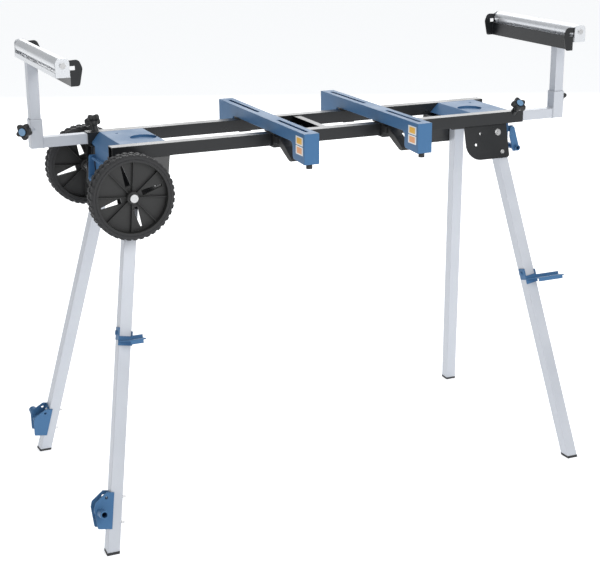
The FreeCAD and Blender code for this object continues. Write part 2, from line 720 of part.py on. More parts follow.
def beam_saddles(end):
    """A pad, jaw and lip round each rail; the front one also carries the lever's pin."""
    at = f"beam_{end}"
    face = "(frame_width/2 + fit_gap)"
    inner = "(beam_width - 2*sheet - 2)"
    edge = f"{at} - {inner}/2"
    jaw_floor = f"{RAIL_FLOOR} - fit_gap - 3.5"
    saddles = []
    for s in (-1, 1):
        pad_y = f"min({s}*({face} + 8); {s}*({face} - rail_size - 12))"
        jaw_y = f"min({s}*{face}; {s}*({face} + 8))"
        lip_y = f"min({s}*({face} - 20); {s}*({face} + 8))"
        parts = [
            box(f"{at} - beam_width/2", pad_y, "deck_top", "beam_width", "rail_size + 20", "beam_pad"),
            box(edge, pad_y, "deck_top", inner, "rail_size + 20", "beam_pad + 12"),
            box(edge, jaw_y, jaw_floor, inner, "8", "rail_size + fit_gap + 4"),
            box(edge, lip_y, jaw_floor, inner, "28", "3.5"),
        ]
        if s < 0:
            for ear in (edge, f"{at} + {inner}/2 - 3"):
                parts.append(box(ear, f"{LEVER_Y} - 8", f"{LEVER_Z} - 8", "3", "21", "16"))
            parts.append(rod("x", edge, LEVER_Y, LEVER_Z, "3", inner))
        saddles.append(join(*parts))
    return node(f"{end}_beam_saddles", group(*saddles))


def beam_buffers(end):
    """Round rubber buffers hanging below a beam's end blocks, stems reaching its top sheet."""
    at = f"beam_{end}"
    buffers = []
    for spot in ("-beam_length_front + 15", "beam_length_rear - 17"):
        stub = rod("z", at, spot, f"{BEAM_FOOT} - 12", "7.5", "12")
        stem = rod("z", at, spot, BEAM_FOOT, "4", "beam_drop - sheet")
        buffers.append(join(stub, stem))
    return node(f"{end}_beam_buffers", group(*buffers))


def clamp_lever(end):
    """The cam lever under a beam, from its pin in the front saddle towards the front."""
    shape = [
        ("9", "7"), ("2", "9"), ("-10", "8"), ("-48", "-8"), ("-84", "-29"), ("-84", "-38"),
        ("-70", "-37"), ("-40", "-24"), ("-8", "-9"), ("9", "-7"),
    ]
    thick = "(beam_width - 2*sheet - 2 - 6 - 1)"
    arm = plate("yz", shape, thick, rounds=[(2, "8"), (5, "3")])
    bore = rod("x", "-50", "0", "0", "3.1", "100")
    body = cut(arm, bore)
    move(body, f"beam_{end}", LEVER_Y, LEVER_Z)
    return node(f"{end}_clamp_lever", body)


# ---- roller supports ---------------------------------------------------------------------

ARM_SIZE = "(rail_size - 2*rail_wall - 2*arm_gap)"
SLEEVE_FLOOR = f"(deck_top - rail_size/2 - {ARM_SIZE}/2)"
ROLLER_Z = "(roller_top - roller_radius)"
HEAD_FLOOR = f"({ROLLER_Z} - channel_depth)"
WING_IN = "(roller_length/2 + 1.5)"      # inner face of a length stop's wings
PLATE_IN = f"({WING_IN} + 3.5)"          # inner face of a channel's end plates


def post_place(end):
    """Where a post stands: beyond its rail's end, in line with one of the two rails."""
    return (
        f"{END[end]}*(rail_length/2 + {end}_out)",
        f"{-END[end]}*(frame_width/2 - rail_size/2)",
    )


def extension_arm(end):
    """A tube that slides in a rail, with an upright sleeve for the post at its outer end."""
    s = END[end]
    post_x, post_y = post_place(end)
    inside = f"{s}*(rail_length/2 - arm_inside)"
    sleeve_face = f"({post_x} - {s}*rail_size/2)"
    start = f"min({inside}; {sleeve_face})"
    length = f"(arm_inside + {end}_out - rail_size/2)"
    hollow_size = f"{ARM_SIZE} - 2*arm_wall"
    tube = box(start, f"{post_y} - {ARM_SIZE}/2", SLEEVE_FLOOR, length, ARM_SIZE, ARM_SIZE)
    hollow = box(start, f"{post_y} - {ARM_SIZE}/2 + arm_wall", f"{SLEEVE_FLOOR} + arm_wall",
                 length, hollow_size, hollow_size)
    corner = (f"{post_x} - rail_size/2", f"{post_y} - rail_size/2", SLEEVE_FLOOR)
    sleeve = box(*corner, "rail_size", "rail_size", "sleeve_height")
    envelope = box(*corner, "rail_size", "rail_size", "sleeve_height")
    bore = box(f"{corner[0]} + rail_wall", f"{corner[1]} + rail_wall", f"{SLEEVE_FLOOR} + rail_wall",
               RAIL_BORE, RAIL_BORE, "sleeve_height")
    nut = weld_nut(f"{end}_post", envelope)
    solid = join(cut(tube, hollow), cut(sleeve, bore), nut)
    return node(f"{end}_extension_arm", cut(solid, screw_hole(f"{end}_post")))


def post(end):
    """The upright tube that carries a roller head, partly inside its sleeve."""
    post_x, post_y = post_place(end)
    low = f"({SLEEVE_FLOOR} + sleeve_height - post_below)"
    tall = f"({HEAD_FLOOR} - {low})"
    bore = f"({ARM_SIZE} - 2*arm_wall)"
    solid = box(f"{post_x} - {ARM_SIZE}/2", f"{post_y} - {ARM_SIZE}/2", low, ARM_SIZE, ARM_SIZE, tall)
    core = box(f"{post_x} - {bore}/2", f"{post_y} - {bore}/2", f"{low} - 5", bore, bore, f"{tall} + 5")
    return node(f"{end}_post", cut(solid, core))


def roller_channel(end):
    """The pressed channel under a roller, closed by a rounded plate at each end."""
    post_x = post_place(end)[0]
    wide = "channel_half"
    base = box(f"{post_x} - {wide}", f"-{PLATE_IN} - sheet", HEAD_FLOOR,
               f"2*{wide}", f"2*({PLATE_IN} + sheet)", "2")
    sides = [
        box(edge, f"-{PLATE_IN}", HEAD_FLOOR, "2", f"2*{PLATE_IN}", "channel_depth - 15")
        for edge in (f"{post_x} - {wide}", f"{post_x} + {wide} - 2")
    ]
    dome = [(f"-{wide} + 1", "-channel_depth"), (f"{wide} - 1", "-channel_depth"),
            (f"{wide} - 1", "roller_radius"), (f"-{wide} + 1", "roller_radius")]
    ends = []
    for way in (-1, 1):
        end_plate = plate("xz", dome, "sheet", rounds=[(2, "11"), (3, "11")])
        ends.append(move(end_plate, post_x, f"{way}*({PLATE_IN} + sheet/2)", ROLLER_Z))
    bolt_hole = rod("y", post_x, "-300", ROLLER_Z, "axle_thin + 0.05", "600")
    return node(f"{end}_roller_channel", cut(join(base, *sides, *ends), bolt_hole))


def roller(end):
    """A hollow drum closed at both ends, turning on a plain bolt."""
    post_x = post_place(end)[0]
    outer = f"({PLATE_IN} + sheet)"
    axle = rod("y", post_x, f"-{outer} - 1", ROLLER_Z, "axle_thin", f"2*{outer} + 2")
    heads = [
        rod("y", post_x, start, ROLLER_Z, "axle_thin + 2.5", "3.5")
        for start in (f"-{outer} - 3.5", outer)
    ]
    node(f"{end}_roller_axle", join(axle, *heads))
    half = "(roller_length/2)"
    drum = rod("y", post_x, f"-{half}", ROLLER_Z, "roller_radius", "roller_length")
    hollow = rod("y", post_x, f"-{half} + 9", ROLLER_Z, "roller_radius - 2", "roller_length - 18")
    bore = rod("y", post_x, f"-{half} - 5", ROLLER_Z, "axle_thin + axle_play", "roller_length + 10")
    return node(f"{end}_roller", cut(drum, hollow, bore))


def length_stop(end):
    """A flap hinged on the roller's bolt, hanging inboard of the roller until it is turned up."""
    post_x = post_place(end)[0]
    inward = -END[end]
    wing = [
        (f"{inward}*-9", "-9"), (f"{inward}*-9", "9"), (f"{inward}*(stop_reach - 8)", "stop_high"),
        (f"{inward}*stop_reach", "-8"), (f"{inward}*(stop_reach - 8)", "-stop_low"),
        (f"{inward}*(channel_half + 1)", "-stop_low"), (f"{inward}*(channel_half + 1)", "-12"),
        (f"{inward}*8", "-11"),
    ]
    rounds = [(0, "6"), (1, "6"), (2, "12"), (3, "14"), (4, "6")]
    wings = []
    for way in (-1, 1):
        wing_plate = plate("xz", wing, "2", rounds)
        wings.append(move(wing_plate, post_x, f"{way}*({WING_IN} + 1)", ROLLER_Z))
    panel_x = f"{post_x} + min({inward}*(channel_half + 1); {inward}*(channel_half + 3))"
    panel = box(panel_x, f"-{WING_IN}", f"{ROLLER_Z} - stop_low", "2", f"2*{WING_IN}", "stop_low - 13")
    window_x = f"{post_x} + min({inward}*17; {inward}*29)"
    window = box(window_x, "-300", f"{ROLLER_Z} - 11", "12", "600", "9")
    pin_hole = rod("y", post_x, "-300", ROLLER_Z, "axle_thin + axle_play", "600")
    return node(f"{end}_length_stop", cut(join(*wings, panel), window, pin_hole))


# ---- clamp knobs -------------------------------------------------------------------------

def clamp_knob(where):
    """A five-lobed grip with its screw, and the coloured cap pressed into its top."""
    frame = knob_frame(where)
    tip = "-(rail_wall + arm_gap)*1.414 + 0.3"

    def turned_bar(base, radius, height, spot=Vector()):
        bar = doc.addObject("Part::Cylinder", "bar")
        bind(bar, Radius=radius, Height=height)
        return pose(bar, Placement(spot + Vector(0, 0, value(base)), Rotation()))

    screw = turned_bar(tip, "stud_radius", f"knob_stand - ({tip}) + 2")
    neck = turned_bar("9", "stud_radius + 3.5", "knob_stand - 9")
    middle = turned_bar("knob_stand", "knob_radius*0.68", "knob_height")
    lobes = []
    for fifth in range(5):
        angle = math.radians(72 * fifth + 90)
        reach = value("knob_radius*0.74")
        spot = Vector(reach * math.cos(angle), reach * math.sin(angle), 0)
        lobes.append(turned_bar("knob_stand", "knob_radius*0.26", "knob_height", spot))
    node(f"{where}_knob", pose(join(screw, neck, middle, *lobes), frame))
    cap = turned_bar("knob_stand + knob_height", "knob_radius*0.43", "2")
    return node(f"{where}_knob_cap", pose(group(cap), frame))


# ---- the whole stand ---------------------------------------------------------------------

rail("front", "right_rail")
rail("rear", "left_rail")
cross_brace()
for end_name in END:
    end_cover(end_name)
    end_handle(end_name)
    saw_beam(end_name)
    beam_saddles(end_name)
    beam_buffers(end_name)
    clamp_lever(end_name)
    extension_arm(end_name)
    post(end_name)
    roller_channel(end_name)
    roller(end_name)
    length_stop(end_name)
    leg_clip(end_name)
    for row_name in OUT:
        leg_bracket(end_name, row_name)
        leg(end_name, row_name)
for row_name in OUT:
    wheel(row_name)
    foot_bracket(row_name)
wheel_axle()
bracket_bolts()
for knob_name in ("left_rail", "right_rail", "left_post", "right_post"):
    clamp_knob(knob_name)

doc.recompute()

faults = [item.Label for item in doc.Objects if "Invalid" in item.State or "Error" in item.State]
faults += [item.Label for item in nodes if item.Shape.isNull() or not item.Shape.isValid()]
faults += [item.Label for item in nodes if not item.Shape.Solids]
if faults:
    raise SystemExit(f"these did not build: {faults}")

os.makedirs("parts", exist_ok=True)
extent = FreeCAD.BoundBox()
for item in nodes:
    item.Shape.exportStep(f"parts/{item.Label}.step")
    extent.add(item.Shape.BoundBox)
print(len(nodes), "nodes;", extent)
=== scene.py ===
import json
import math
import bpy
import bmesh
from mathutils import Matrix, Vector


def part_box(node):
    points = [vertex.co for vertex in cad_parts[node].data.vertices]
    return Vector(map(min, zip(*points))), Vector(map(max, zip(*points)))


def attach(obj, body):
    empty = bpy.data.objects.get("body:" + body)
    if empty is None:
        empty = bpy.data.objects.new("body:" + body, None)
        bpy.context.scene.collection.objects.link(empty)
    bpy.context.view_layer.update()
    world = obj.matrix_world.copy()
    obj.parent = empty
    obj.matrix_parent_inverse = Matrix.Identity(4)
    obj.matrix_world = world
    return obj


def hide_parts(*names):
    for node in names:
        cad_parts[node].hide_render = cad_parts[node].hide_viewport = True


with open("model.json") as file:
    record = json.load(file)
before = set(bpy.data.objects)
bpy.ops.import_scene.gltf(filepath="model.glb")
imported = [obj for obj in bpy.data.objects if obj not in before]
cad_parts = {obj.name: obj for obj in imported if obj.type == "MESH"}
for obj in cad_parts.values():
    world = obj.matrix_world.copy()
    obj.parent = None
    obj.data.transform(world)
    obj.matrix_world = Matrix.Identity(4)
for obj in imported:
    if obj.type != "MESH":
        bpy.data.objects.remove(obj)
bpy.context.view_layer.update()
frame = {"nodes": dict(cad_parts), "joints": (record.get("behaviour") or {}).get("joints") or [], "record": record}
nodes = frame["nodes"]
print("frame loaded:", len(nodes), "nodes")

view = {
    "eye": (-1.4160, -3.111, 1.544),      # metres
    "turn": 24.0,                         # from straight ahead towards +X, degrees
    "dip": 17.36,                         # below level
    "roll": -0.40,
    "lens": 81.4,
    "shift": 0.0022,
}


def placeCamera(view):
    turn, dip, roll = (math.radians(view[k]) for k in ("turn", "dip", "roll"))
    ahead = Vector((math.sin(turn) * math.cos(dip), math.cos(turn) * math.cos(dip), -math.sin(dip)))
    right = Vector((math.cos(turn), -math.sin(turn), 0))
    up = right.cross(ahead)
    rightRolled = right * math.cos(roll) + up * math.sin(roll)
    upRolled = rightRolled.cross(ahead)
    camera = bpy.data.objects.new("camera", bpy.data.cameras.new("camera"))
    bpy.context.scene.collection.objects.link(camera)
    camera.matrix_world = Matrix((
        (rightRolled.x, upRolled.x, -ahead.x, view["eye"][0]),
        (rightRolled.y, upRolled.y, -ahead.y, view["eye"][1]),
        (rightRolled.z, upRolled.z, -ahead.z, view["eye"][2]),
        (0, 0, 0, 1)))
    camera.data.lens = view["lens"]
    camera.data.sensor_width = 36
    camera.data.shift_x = view["shift"]
    camera.data.clip_end = 50
    bpy.context.scene.camera = camera


placeCamera(view)

studio = {
    "sky": 0.48,
    "skyColour": (0.96, 0.98, 1.0),
    "floor": (0.88, 0.885, 0.89),
    "floorGlow": 0.60,                    # keeps the floor pale right to the edge of the view
    "floorHalf": 30,
    "lamps": (                            # name, place, aims at, size, watts
        ("key", (0.8, -3.8, 2.8), (0, 0, 0.6), 2.2, 72),
        ("fill", (-3.2, -1.8, 2.2), (0, 0, 0.6), 2.4, 6),
        ("top", (0.0, 0.0, 3.8), (0, 0, 0.5), 3.0, 24),
        ("back", (2.0, 4.6, 2.7), (0, 0, 0.9), 4.5, 115),
    ),
}


def lightStudio(studio):
    world = bpy.data.worlds.new("studio")
    bpy.context.scene.world = world
    world.use_nodes = True
    sky = world.node_tree.nodes["Background"]
    sky.inputs["Color"].default_value = (*studio["skyColour"], 1)
    sky.inputs["Strength"].default_value = studio["sky"]
    for name, place, aim, size, watts in studio["lamps"]:
        lamp = bpy.data.lights.new(name, "AREA")
        lamp.shape = "SQUARE"
        lamp.size = size
        lamp.energy = watts
        holder = bpy.data.objects.new(name, lamp)
        bpy.context.scene.collection.objects.link(holder)
        holder.location = place
        holder.rotation_euler = (Vector(aim) - Vector(place)).to_track_quat("-Z", "Y").to_euler()
    mesh = bpy.data.meshes.new("floor")
    half = studio["floorHalf"]
    corners = [(-half, -half, 0), (half, -half, 0), (half, half, 0), (-half, half, 0)]
    mesh.from_pydata(corners, [], [(0, 1, 2, 3)])
    floor = bpy.data.objects.new("floor", mesh)
    bpy.context.scene.collection.objects.link(floor)
    pale = bpy.data.materials.new("paleFloor")
    pale.use_nodes = True
    shader = pale.node_tree.nodes["Principled BSDF"]
    shader.inputs["Base Color"].default_value = (*studio["floor"], 1)
    shader.inputs["Roughness"].default_value = 0.9
    shader.inputs["Emission Color"].default_value = (*studio["floor"], 1)
    shader.inputs["Emission Strength"].default_value = studio["floorGlow"]
    mesh.materials.append(pale)


lightStudio(studio)
bpy.context.scene.view_settings.view_transform = "Standard"
print("studio set")

# ---- finishes: shared effects are node groups, shaders stay in each material


def socket(group, name, kind, way, value=None):
    made = group.interface.new_socket(name=name, in_out=way, socket_type=kind)
    if value is not None:
        made.default_value = value
    return made


def wire(tree, *pairs):
    for out, into in pairs:
        tree.links.new(out, into)


def maths(new, operation, second=None, vector=False):
    node = new("ShaderNodeVectorMath" if vector else "ShaderNodeMath")
    node.operation = operation
    if second is not None:
        node.inputs[1].default_value = second
    return node


def mapped(new, **ends):
    # a Map Range node with its ends given as fromMin, fromMax, toMin, toMax
    node = new("ShaderNodeMapRange")
    names = {"fromMin": "From Min", "fromMax": "From Max", "toMin": "To Min", "toMax": "To Max"}
    for end, value in ends.items():
        node.inputs[names[end]].default_value = value
    return node


def blend(new, **ends):
    # a colour Mix node with its fixed colours given as a and b
    node = new("ShaderNodeMix")
    node.data_type = "RGBA"
    for end, colour in ends.items():
        node.inputs[end.upper()].default_value = (*colour, 1)
    return node


def edgeWearGroup():
    # 1 along outer edges, broken up by noise; also a normal that rounds those edges
    group = bpy.data.node_groups.new("edgeWear", "ShaderNodeTree")
    socket(group, "Radius", "NodeSocketFloat", "INPUT", 0.0012)
    socket(group, "Amount", "NodeSocketFloat", "INPUT", 0.5)
    socket(group, "Mask", "NodeSocketFloat", "OUTPUT")
    socket(group, "Normal", "NodeSocketVector", "OUTPUT")
    new = group.nodes.new
    inside, outside = new("NodeGroupInput"), new("NodeGroupOutput")
    bevel = new("ShaderNodeBevel")
    bevel.samples = 4
    geometry = new("ShaderNodeNewGeometry")
    dot = maths(new, "DOT_PRODUCT", vector=True)
    edge = mapped(new, fromMin=0.985, fromMax=0.80)
    coords = new("ShaderNodeTexCoord")
    chips = new("ShaderNodeTexNoise")
    chips.inputs["Scale"].default_value = 140
    chips.inputs["Detail"].default_value = 5
    cut = mapped(new, fromMin=0.48, fromMax=0.66)
    both = maths(new, "MULTIPLY")
    scaled = maths(new, "MULTIPLY")
    wire(group,
         (inside.outputs["Radius"], bevel.inputs["Radius"]),
         (bevel.outputs["Normal"], dot.inputs[0]),
         (geometry.outputs["True Normal"], dot.inputs[1]),
         (dot.outputs["Value"], edge.inputs["Value"]),
         (coords.outputs["Object"], chips.inputs["Vector"]),
         (chips.outputs["Fac"], cut.inputs["Value"]),
         (edge.outputs["Result"], both.inputs[0]),
         (cut.outputs["Result"], both.inputs[1]),
         (both.outputs["Value"], scaled.inputs[0]),
         (inside.outputs["Amount"], scaled.inputs[1]),
         (scaled.outputs["Value"], outside.inputs["Mask"]),
         (bevel.outputs["Normal"], outside.inputs["Normal"]))
    return group


def grainGroup():
    # cloudy variation, fine grain and, if stretched, brushed streaks
    group = bpy.data.node_groups.new("surfaceGrain", "ShaderNodeTree")
    socket(group, "Fine Scale", "NodeSocketFloat", "INPUT", 900)
    socket(group, "Cloud Scale", "NodeSocketFloat", "INPUT", 9)
    socket(group, "Stretch", "NodeSocketVector", "INPUT", (1, 1, 1))
    socket(group, "Fine", "NodeSocketFloat", "OUTPUT")
    socket(group, "Cloud", "NodeSocketFloat", "OUTPUT")
    socket(group, "Scratch", "NodeSocketFloat", "OUTPUT")
    new = group.nodes.new
    inside, outside = new("NodeGroupInput"), new("NodeGroupOutput")
    coords = new("ShaderNodeTexCoord")
    stretch = maths(new, "MULTIPLY", vector=True)
    fine = new("ShaderNodeTexNoise")
    fine.inputs["Detail"].default_value = 3
    cloud = new("ShaderNodeTexNoise")
    cloud.inputs["Detail"].default_value = 4
    scratches = new("ShaderNodeTexVoronoi")
    scratches.feature = "DISTANCE_TO_EDGE"
    scratches.inputs["Scale"].default_value = 14
    warp = new("ShaderNodeTexNoise")
    warp.inputs["Scale"].default_value = 6
    bend = maths(new, "MULTIPLY_ADD", (0.5, 0.5, 0.5), vector=True)
    line = mapped(new, fromMin=0.006, fromMax=0.0)
    wire(group,
         (coords.outputs["Object"], stretch.inputs[0]),
         (inside.outputs["Stretch"], stretch.inputs[1]),
         (stretch.outputs["Vector"], fine.inputs["Vector"]),
         (inside.outputs["Fine Scale"], fine.inputs["Scale"]),
         (coords.outputs["Object"], cloud.inputs["Vector"]),
         (inside.outputs["Cloud Scale"], cloud.inputs["Scale"]),
         (coords.outputs["Object"], warp.inputs["Vector"]),
         (warp.outputs["Color"], bend.inputs[0]),
         (coords.outputs["Object"], bend.inputs[2]),
         (bend.outputs["Vector"], scratches.inputs["Vector"]),
         (scratches.outputs["Distance"], line.inputs["Value"]),
         (fine.outputs["Fac"], outside.inputs["Fine"]),
         (cloud.outputs["Fac"], outside.inputs["Cloud"]),
         (line.outputs["Result"], outside.inputs["Scratch"]))
    return group


edgeWear = edgeWearGroup()
surfaceGrain = grainGroup()


def finishMaterial(name, look):
    # colour varies between two tones, edges wear to a third, grain drives bump and gloss
    material = bpy.data.materials.new(name)
    material.use_nodes = True
    tree = material.node_tree
    new = tree.nodes.new
    shader = tree.nodes["Principled BSDF"]
    shader.inputs["Metallic"].default_value = look.get("metal", 0.0)
    shader.inputs["Coat Weight"].default_value = look.get("coat", 0.0)
    shader.inputs["Specular IOR Level"].default_value = look.get("gloss", 0.5)
    shader.inputs["Specular Tint"].default_value = (*look.get("sheen", (1, 1, 1)), 1)
    shader.inputs["Coat Roughness"].default_value = 0.25
    grain = new("ShaderNodeGroup")
    grain.node_tree = surfaceGrain
    grain.inputs["Fine Scale"].default_value = look.get("fineScale", 900)
    grain.inputs["Cloud Scale"].default_value = look.get("cloudScale", 9)
    grain.inputs["Stretch"].default_value = look.get("stretch", (1, 1, 1))
    wear = new("ShaderNodeGroup")
    wear.node_tree = edgeWear
    wear.inputs["Radius"].default_value = look.get("edgeRadius", 0.0012)
    wear.inputs["Amount"].default_value = look.get("wear", 0.4)
    tones = blend(new, a=look["dark"], b=look["light"])
    worn = blend(new, b=look["worn"])
    gloss = mapped(new, fromMin=0.3, fromMax=0.7, toMin=look["rough"][0], toMax=look["rough"][1])
    scuffed = maths(new, "MULTIPLY_ADD", look.get("scratch", 0.06))
    bump = new("ShaderNodeBump")
    bump.inputs["Strength"].default_value = look.get("bump", 0.12)
    bump.inputs["Distance"].default_value = 0.0004
    wire(tree,
         (grain.outputs["Cloud"], tones.inputs["Factor"]),
         (tones.outputs["Result"], worn.inputs["A"]),
         (wear.outputs["Mask"], worn.inputs["Factor"]),
         (worn.outputs["Result"], shader.inputs["Base Color"]),
         (grain.outputs["Cloud"], gloss.inputs["Value"]),
         (grain.outputs["Scratch"], scuffed.inputs[0]),
         (gloss.outputs["Result"], scuffed.inputs[2]),
         (scuffed.outputs["Value"], shader.inputs["Roughness"]),
         (grain.outputs["Fine"], bump.inputs["Height"]),
         (wear.outputs["Normal"], bump.inputs["Normal"]),
         (bump.outputs["Normal"], shader.inputs["Normal"]))
    return material


finishes = {
    "black_paint": {"dark": (0.005, 0.006, 0.007), "light": (0.012, 0.013, 0.015), "worn": (0.10, 0.10, 0.10),
                    "rough": (0.24, 0.38), "bump": 0.15, "fineScale": 700, "wear": 0.35, "gloss": 0.38,
                    "coat": 0.2, "edgeRadius": 0.0018},
    "blue_paint": {"dark": (0.044, 0.125, 0.262), "light": (0.060, 0.155, 0.310), "worn": (0.20, 0.27, 0.36),
                   "sheen": (0.52, 0.76, 1.0), "rough": (0.38, 0.52), "bump": 0.22, "fineScale": 800,
                   "wear": 0.4, "gloss": 0.6, "edgeRadius": 0.0022},
    "silver_paint": {"dark": (0.50, 0.525, 0.575), "light": (0.58, 0.60, 0.64), "worn": (0.72, 0.72, 0.72),
                     "rough": (0.34, 0.48), "bump": 0.12, "fineScale": 1400, "metal": 0.3, "wear": 0.3,
                     "edgeRadius": 0.0022},
    "zinc_steel": {"dark": (0.66, 0.68, 0.71), "light": (0.80, 0.81, 0.83), "worn": (0.88, 0.88, 0.88),
                   "rough": (0.20, 0.34), "bump": 0.10, "fineScale": 300, "stretch": (4, 0.15, 4),
                   "metal": 0.6},
    "bright_steel": {"dark": (0.50, 0.50, 0.50), "light": (0.68, 0.68, 0.68), "worn": (0.85, 0.85, 0.85),
                     "rough": (0.22, 0.36), "bump": 0.10, "fineScale": 1500, "metal": 0.9,
                     "edgeRadius": 0.0006},
    "black_plastic": {"dark": (0.012, 0.012, 0.012), "light": (0.022, 0.022, 0.022), "worn": (0.06, 0.06, 0.06),
                      "rough": (0.42, 0.58), "bump": 0.35, "fineScale": 1100, "wear": 0.3},
    "blue_plastic": {"dark": (0.13, 0.26, 0.42), "light": (0.16, 0.30, 0.47), "worn": (0.15, 0.22, 0.33),
                     "rough": (0.25, 0.35), "bump": 0.10, "coat": 0.3, "wear": 0.2, "edgeRadius": 0.0006},
    "dark_rubber": {"dark": (0.018, 0.018, 0.020), "light": (0.034, 0.034, 0.036), "worn": (0.09, 0.09, 0.09),
                    "rough": (0.62, 0.78), "bump": 0.4, "fineScale": 1000, "wear": 0.5},
    "tyre_rubber": {"dark": (0.012, 0.012, 0.013), "light": (0.024, 0.024, 0.026), "worn": (0.07, 0.07, 0.07),
                    "rough": (0.55, 0.72), "bump": 0.4, "fineScale": 1000, "wear": 0.5},
}
materials = {name: finishMaterial(name, look) for name, look in finishes.items()}
slotOf = {part["node"]: part["material_slot"] for part in frame["record"]["subparts"]}
for nodeName, thing in nodes.items():
    material = materials[slotOf[nodeName]]
    if not thing.material_slots:
        thing.data.materials.append(material)
    for held in thing.material_slots:
        held.material = material
print("finishes on", len(nodes), "nodes")

# ---- shared making: plain meshes, and Geometry Nodes turned into plain meshes


def newPiece(name, vertices, faces, material, smooth=False):
    mesh = bpy.data.meshes.new(name)
    mesh.from_pydata(vertices, [], faces)
    mesh.validate()
    piece = bpy.data.objects.new(name, mesh)
    bpy.context.scene.collection.objects.link(piece)
    mesh.materials.append(material)
    shell = bmesh.new()
    shell.from_mesh(mesh)
    bmesh.ops.remove_doubles(shell, verts=shell.verts, dist=1e-6)
    bmesh.ops.recalc_face_normals(shell, faces=shell.faces)
    for face in shell.faces:
        face.smooth = smooth
    shell.to_mesh(mesh)
    shell.free()
    return piece


def applyNodes(piece, tree, values):
    # runs the tree on the piece and keeps the result as its plain mesh
    modifier = piece.modifiers.new(tree.name, "NODES")
    modifier.node_group = tree
    sockets = {item.name: item.identifier for item in tree.interface.items_tree if item.in_out == "INPUT"}
    for name, value in values.items():
        modifier[sockets[name]] = value
    ready = piece.evaluated_get(bpy.context.evaluated_depsgraph_get())
    mesh = bpy.data.meshes.new_from_object(ready)
    old = piece.data
    piece.modifiers.remove(modifier)
    piece.data = mesh
    mesh.name = piece.name
    bpy.data.meshes.remove(old)
    return piece


def ringOf(outline, turns, centre):
    # a closed surface of revolution about Y: outline is (radius, place along the axle)
    vertices, faces = [], []
    count = len(outline)
    for turn in range(turns):
        angle = 2 * math.pi * turn / turns
        for radius, along in outline:
            vertices.append((centre[0] + radius * math.cos(angle), centre[1] + along,
                             centre[2] + radius * math.sin(angle)))
    for turn in range(turns):
        for i in range(count):
            a, b = turn * count, (turn + 1) % turns * count
            faces.append((a + i, a + (i + 1) % count, b + (i + 1) % count, b + i))
    return vertices, faces


# ---- tyres: a ribbed carcass, with tread blocks set round it by Geometry Nodes

tyre = {
    "outside": 0.0982,       # carcass radius between the blocks
    "inside": 0.0831,
    "halfWidth": 0.0192,
    "blocks": 40,            # per side
    "blockLength": 0.0112,
    "blockWidth": 0.0148,
    "blockHeight": 0.0030,
    "lean": 8.0,            # degrees, blocks set askew
}


